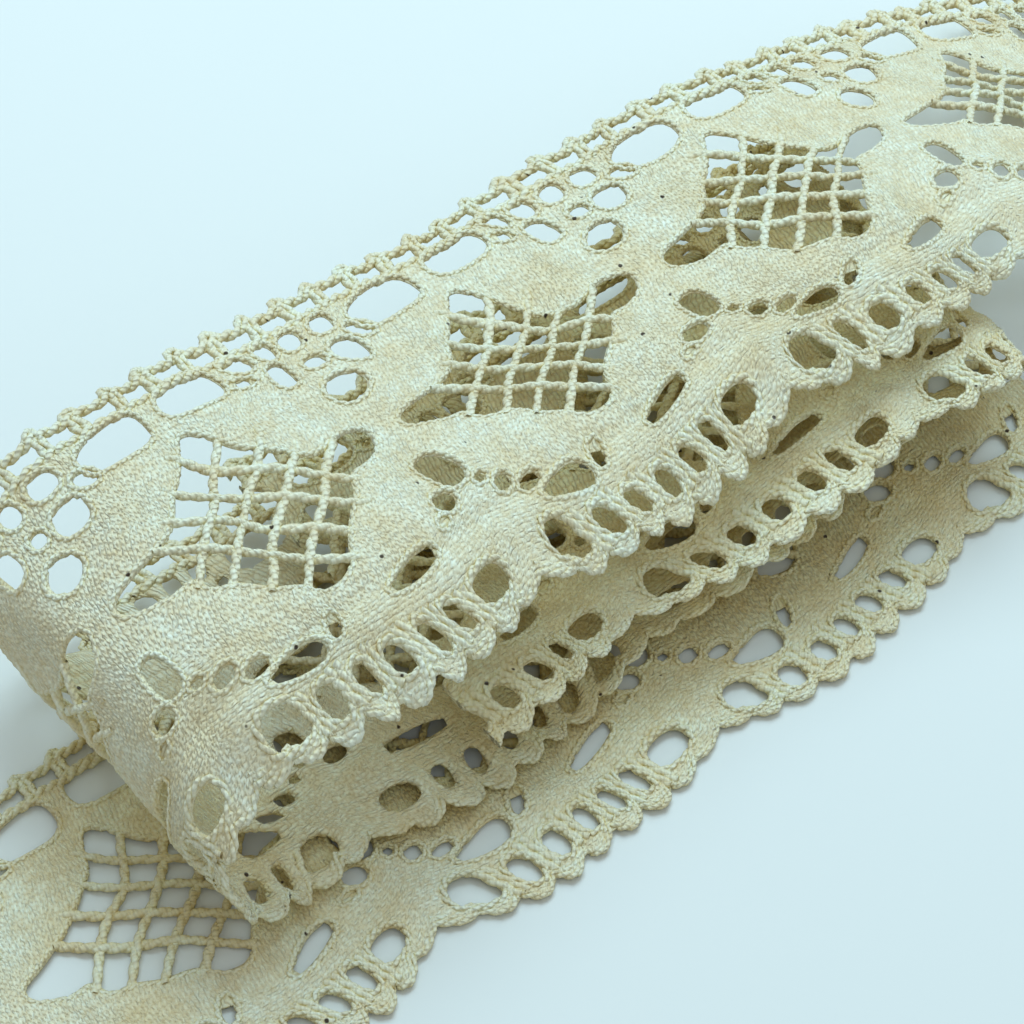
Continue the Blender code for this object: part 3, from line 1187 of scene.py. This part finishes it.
@dataclass(frozen=True)
class EcruCotton:
    """Undyed, unmercerised cotton thread: dull, faintly fuzzy, pale ecru with tan flecks.

    The fuzz gives a soft sheen at grazing light, and bits of seed husk stay in the yarn as
    sparse dark brown specks.
    """

    pale: str = "F5F7E9"
    deep: str = "F1E5C8"
    # The pit colour is painted shade for the weave's pits and the threads' grooves and sides.
    painted_pit_shade: str = "DDC08C"
    # Painted shade, golden, for occluded hollows between the layers.
    painted_hollow_shade: str = "F2E2A4"
    hollow_mm: float = 22.0
    husk: str = "463423"
    roughness: float = 0.92
    sheen: float = 0.25
    sheen_roughness: float = 0.5
    patch_mm: float = 6.0
    mottle_mm: float = 1.3
    mottle_least: float = 0.68
    patch_range: Span = (0.35, 0.7)
    mottle_range: Span = (0.36, 0.56)
    hollow_range: Span = (0.88, 0.25)
    fleck_mm: float = 4.2
    fleck_size_mm: float = 0.29
    fibres_a_metre: float = 4500.0

    def fuzz(self, nodes: Nodes, height: Source, share: float, bump_mm: float) -> None:
        """Add a share of fine fibre noise to a height and bump the shader with it.

        Args:
            nodes: the material.
            height: the height, 0 to 1.
            share: how much noise is added.
            bump_mm: how deep a height of 1 is.
        """
        fibres = nodes.add("TexNoise", nodes.where, Scale=self.fibres_a_metre, Detail=3.0)
        rough = nodes.add("Math", fibres, share, height, operation="MULTIPLY_ADD")
        bump = nodes.add("Bump", Strength=1.0, Distance=bump_mm * MM, Height=rough)
        nodes.surface({"Normal": bump})

    def coat(self, nodes: Nodes, shade: Source) -> None:
        """Colour the shader.

        Args:
            nodes: the material.
            shade: painted shade, 0 in the pits to 1 on the crowns.
        """
        patch = nodes.add("TexNoise", nodes.where, Scale=1000 / self.patch_mm, Detail=3.0)
        spread = nodes.add("MapRange", patch, *self.patch_range)
        pale, deep = linear(self.pale), linear(self.deep)
        tone = nodes.add("Mix", spread, data_type="RGBA", A_Color=pale, B_Color=deep)
        mottle = nodes.add("TexNoise", nodes.where, Scale=1000 / self.mottle_mm, Detail=3.0)
        dimming = nodes.add("MapRange", mottle, *self.mottle_range, self.mottle_least)
        shade_and_mottle = nodes.add("Math", shade, dimming, operation="MULTIPLY")
        # Painted shade: where the shade, times the random mottle, is low, the colour goes to the
        # darker pit colour.
        painted_pit_shade = linear(self.painted_pit_shade)
        pits = nodes.add("Mix", shade_and_mottle, data_type="RGBA", A_Color=painted_pit_shade, B_Color=(tone, 2))
        cell = nodes.add("TexVoronoi", nodes.where, Scale=1000 / self.fleck_mm, Randomness=1.0)
        size = self.fleck_size_mm / self.fleck_mm
        fleck = nodes.add("MapRange", cell, size, 0.7 * size)
        # Painted shade: where the ambient occlusion node finds the cloth occluded, its colour is
        # multiplied golden, for light that has come through the layers over a hollow.
        reach = nodes.add("AmbientOcclusion", samples=2, Distance=self.hollow_mm * MM)
        inner = nodes.add("MapRange", (reach, 1), *self.hollow_range)
        golden = {"data_type": "RGBA", "blend_type": "MULTIPLY", "B_Color": linear(self.painted_hollow_shade)}
        deepened = nodes.add("Mix", inner, A_Color=(pits, 2), **golden)
        husk = linear(self.husk)
        final = nodes.add("Mix", fleck, data_type="RGBA", A_Color=(deepened, 2), B_Color=husk)
        dull = {"Roughness": self.roughness, "Sheen Weight": self.sheen}
        dull["Sheen Roughness"] = self.sheen_roughness
        nodes.surface({"Base Color": (final, 2), **dull})


@dataclass(frozen=True)
class WovenCotton:
    """Cloth stitch as woven: rows of short floats packed by the weaver thread.

    Thread spacing is 0.52 mm one way and 1.05 mm the other, from the photographed trim.
    """

    cotton: EcruCotton
    narrow_mm: float = 0.52
    long_mm: float = 1.05
    lean: float = 0.28
    jostle_mm: float = 0.9
    bump_mm: float = 0.3
    low_set: float = 0.7
    fibre_share: float = 0.3
    pit_range: Span = (0.15, 0.7)
    pit_least: float = 0.45

    def weave(self, nodes: Nodes, beside: Source, along: Source) -> bpy.types.Node:
        """Height of a plain weave with one thread set raised.

        Each thread's height over its length is a half sine, opposite in neighbours, times the
        root of a half sine across it. The higher of the two thread sets is kept.

        Args:
            nodes: the material.
            beside: the place across the raised floats, in mm.
            along: the place along them, in mm.

        Returns:
            The height node, 0 to 1.
        """
        u = nodes.add("Math", beside, self.narrow_mm, operation="DIVIDE")
        v = nodes.add("Math", along, self.long_mm, operation="DIVIDE")
        sets = []
        for across_thread, along_thread, half in ((u, v, 0.5), (v, u, -0.5)):
            number = nodes.add("Math", across_thread, operation="FLOOR")
            phase = nodes.add("Math", along_thread, number, operation="ADD")
            angle = nodes.add("Math", phase, math.pi, operation="MULTIPLY")
            wave = nodes.add("Math", angle, operation="SINE")
            rise = nodes.add("Math", wave, half, 0.5, operation="MULTIPLY_ADD")
            turn = nodes.add("Math", across_thread, math.pi, operation="MULTIPLY")
            round_one = nodes.add("Math", turn, operation="SINE")
            flat_one = nodes.add("Math", round_one, operation="ABSOLUTE")
            profile = nodes.add("Math", flat_one, 0.6, operation="POWER")
            sets.append(nodes.add("Math", rise, profile, operation="MULTIPLY"))
        low = nodes.add("Math", sets[1], self.low_set, operation="MULTIPLY")
        return nodes.add("Math", sets[0], low, operation="MAXIMUM")

    def place(self, nodes: Nodes, attribute: str, lean: float) -> tuple[Source, Source]:
        """The flat place from an attribute, jostled by noise and leaned.

        Args:
            nodes: the material.
            attribute: the attribute's name.
            lean: how far s moves for each t.

        Returns:
            s and t, in mm.
        """
        flat = (nodes.add("Attribute", attribute_name=attribute), "Vector")
        noise = nodes.add("TexNoise", flat, Scale=0.8, Detail=2.0)
        centred = nodes.add("VectorMath", (noise, 1), (0.5, 0.5, 0.5), operation="SUBTRACT")
        jostle = (self.jostle_mm, self.jostle_mm, 0.0)
        moved = nodes.add("VectorMath", centred, jostle, flat, operation="MULTIPLY_ADD")
        parts = nodes.add("SeparateXYZ", moved)
        leaned = nodes.add("Math", (parts, 1), lean, (parts, 0), operation="MULTIPLY_ADD")
        return leaned, (parts, 1)

    def finish(self, name: str) -> bpy.types.Material:
        """The material.

        Args:
            name: its name.

        Returns:
            The material, with weave in its bump and as painted shade in its pits.
        """
        nodes = Nodes(name)
        trail_s, trail_t = self.place(nodes, "lay", self.lean)
        fan_s, fan_t = self.place(nodes, "bow", 0.0)
        trail = self.weave(nodes, trail_s, trail_t)
        fan = self.weave(nodes, fan_t, fan_s)
        share = (nodes.add("Attribute", attribute_name="fan"), "Fac")
        height = nodes.add("Mix", share, None, trail, fan)
        self.cotton.fuzz(nodes, height, self.fibre_share, self.bump_mm)
        # Painted shade: the lower the weave, the nearer its colour is to the pit colour.
        shade = nodes.add("MapRange", height, *self.pit_range, self.pit_least)
        self.cotton.coat(nodes, shade)
        return nodes.material


@dataclass(frozen=True)
class SpunCotton:
    """The same cotton as a free two-ply thread: a slanting groove each 0.62 mm."""

    cotton: EcruCotton
    ply_mm: float = 0.62
    bump_mm: float = 0.08
    fibre_share: float = 0.5
    groove_range: Span = (-1.0, 0.6)
    groove_least: float = 0.85
    darkest_lot: float = 0.88

    def finish(self, name: str) -> bpy.types.Material:
        """The material.

        The ply's height is the sine of the angle round the thread plus a turn each ply_mm.

        Args:
            name: its name.

        Returns:
            The material.
        """
        nodes = Nodes(name)
        parts = nodes.add("SeparateXYZ", (nodes.add("Attribute", attribute_name="lay"), "Vector"))
        turn = nodes.add("Math", parts, 2 * math.pi / self.ply_mm, operation="MULTIPLY")
        sine = nodes.add("Math", turn, operation="SINE")
        cosine = nodes.add("Math", turn, operation="COSINE")
        first = nodes.add("Math", sine, (parts, 1), operation="MULTIPLY")
        ply = nodes.add("Math", cosine, (parts, 2), first, operation="MULTIPLY_ADD")
        self.cotton.fuzz(nodes, ply, self.fibre_share, self.bump_mm)
        # Painted shade: the ply's grooves are coloured a little darker.
        groove = nodes.add("MapRange", ply, *self.groove_range, self.groove_least)
        # Painted shade: the shade attribute darkens the floats' tips and sides.
        dimming = (nodes.add("Attribute", attribute_name="shade"), "Fac")
        tone = (nodes.add("Attribute", attribute_name="tone"), "Fac")
        lot = nodes.add("MapRange", tone, None, None, self.darkest_lot)
        low = nodes.add("Math", groove, dimming, operation="MULTIPLY")
        self.cotton.coat(nodes, nodes.add("Math", low, lot, operation="MULTIPLY"))
        return nodes.material


@dataclass(frozen=True)
class Lamp:
    """A square soft light aimed at the bundle: watts, side and place in metres, sRGB hex."""

    name: str
    power: float
    size: float
    place: tuple[float, float, float]
    colour: str

    def hang(self) -> None:
        """Add the light to the scene."""
        lamp = bpy.data.lights.new(self.name, "AREA")
        lamp.energy, lamp.size, lamp.color = self.power, self.size, linear(self.colour)[:3]
        holder = bpy.data.objects.new(self.name, lamp)
        holder.location = self.place
        holder.rotation_euler = (-holder.location).to_track_quat("-Z", "Y").to_euler()
        bpy.context.scene.collection.objects.link(holder)


@dataclass
class Studio:
    """The pale floor, soft light and camera."""

    floor_colour: str = "E7E7E7"
    floor_half: float = 1.5
    world_colour: str = "E6F1EB"
    world_strength: float = 0.42
    lamps: tuple[Lamp, ...] = (
        Lamp("key_light", 4.35, 0.5, (0.25, 0.28, 0.56), "CFF2FF"),
        Lamp("fill_light", 1.78, 0.9, (-0.1, -0.5, 0.9), "DAF2FF"),
    )
    lens: float = 128.27
    place: tuple[float, float, float] = (-0.16682, -0.17315, 0.30784)
    yaw_deg: float = 42.56
    pitch_deg: float = 51.43
    roll_deg: float = -0.03

    def floor(self) -> None:
        """A plain pale matt table top."""
        corners = np.array([[-1, -1, 0], [1, -1, 0], [1, 1, 0], [-1, 1, 0]]) * self.floor_half
        floor = make_mesh("table_top", corners, np.array([[0, 1, 2, 3]]))
        nodes = Nodes("matt painted board")
        dull = {"Roughness": 0.7, "Specular IOR Level": 0.2}
        nodes.surface({"Base Color": linear(self.floor_colour), **dull})
        floor.data.materials.append(nodes.material)

    def camera(self) -> None:
        """The camera at the photograph's angle: yaw from +Y towards +X, pitch below level."""
        yaw, pitch, roll = (math.radians(a) for a in (self.yaw_deg, self.pitch_deg, self.roll_deg))
        forward = Vector(
            (math.cos(pitch) * math.sin(yaw), math.cos(pitch) * math.cos(yaw), -math.sin(pitch))
        )
        level = Vector((math.cos(yaw), -math.sin(yaw), 0.0))
        right = level * math.cos(roll) + level.cross(forward) * math.sin(roll)
        turn = Matrix((right, right.cross(forward), -forward)).transposed().to_4x4()
        data = bpy.data.cameras.new("camera")
        data.lens, data.sensor_width = self.lens, 36.0
        data.clip_start, data.clip_end = 0.01, 20.0
        holder = bpy.data.objects.new("camera", data)
        holder.matrix_world = Matrix.Translation(self.place) @ turn
        bpy.context.scene.collection.objects.link(holder)
        bpy.context.scene.camera = holder

    def build(self) -> None:
        """Floor, world, lights and camera."""
        self.floor()
        world = bpy.data.worlds.new("studio air")
        world.use_nodes = True
        air = world.node_tree.nodes["Background"].inputs
        air[0].default_value, air[1].default_value = linear(self.world_colour), self.world_strength
        bpy.context.scene.world = world
        for lamp in self.lamps:
            lamp.hang()
        self.camera()
        bpy.context.scene.view_settings.view_transform = "Standard"


def main() -> None:
    """Build both lengths, their finishes and the studio."""
    logging.basicConfig(level=logging.INFO, format="%(message)s")
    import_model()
    Studio().build()
    edging = Edging()
    chart = Chart(edging)
    woven = WovenCotton(EcruCotton()).finish("ecru cotton, cloth stitch")
    spun = SpunCotton(EcruCotton()).finish("ecru cotton thread, two-ply")
    cloth, floats = ClothStitch(chart), Floats(chart)
    work = ThreadWork(LaceThreads(edging, chart).repeat())
    folded = Length(
        "folded_length", TrimPath(FOLDED, TOP_ROW), Unevenness(5, 0.3, 0.2), 5, Relief(), PULLS
    )
    laid = Relief(ridge=0.25, groove=0.1, ripple=0.0)
    flat = Length("flat_length", TrimPath(FLAT, FLAT_ROW), Unevenness(8, 0.3, 0.0), 8, laid)
    sections = {
        "folded_length": {
            "inner_run_threads": range(-7, -3),
            "front_run_threads": range(-3, -1),
            "left_fold_threads": range(-1, 1),
            "top_run_threads": range(1, 3),
            "tail_threads": range(3, 5),
        },
        "flat_length": {"flat_left_threads": range(-2, 1), "flat_right_threads": range(1, 4)},
    }
    covers = {
        "folded_length": [
            ("inner_run_floats", range(-7, -3), Side.OUTER, 8.0),
            ("left_fold_floats", range(-1, 1), Side.OUTER, -30.0),
            ("top_run_floats", range(1, 3), Side.OUTER, -30.0),
            ("tail_floats", range(3, 5), Side.OUTER, -30.0),
            ("front_run_floats", range(-5, 1), Side.INNER, -7.0),
        ],
        "flat_length": [("flat_floats", range(-2, 4), Side.OUTER, -30.0)],
    }
    total = 0
    for length in (folded, flat):
        sheet = cloth.build(f"{length.node.split('_')[0]}_cloth", length)
        threads = [work.build(name, length, laps) for name, laps in sections[length.node].items()]
        for name, laps, side, t_from in covers[length.node]:
            threads.append(floats.build(name, length, laps, side, t_from))
        for piece in [sheet, *threads]:
            piece.data.materials.append(woven if piece is sheet else spun)
            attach(piece, BODY)
            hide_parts(length.node)
            count = 2 * len(piece.data.polygons)
            total += count
            LOG.info("%s: %d triangles", piece.name, count)
    LOG.info("all: %d triangles, cloth share %.2f", total, cloth.cloth_share)


if __name__ == "__main__":
    main()
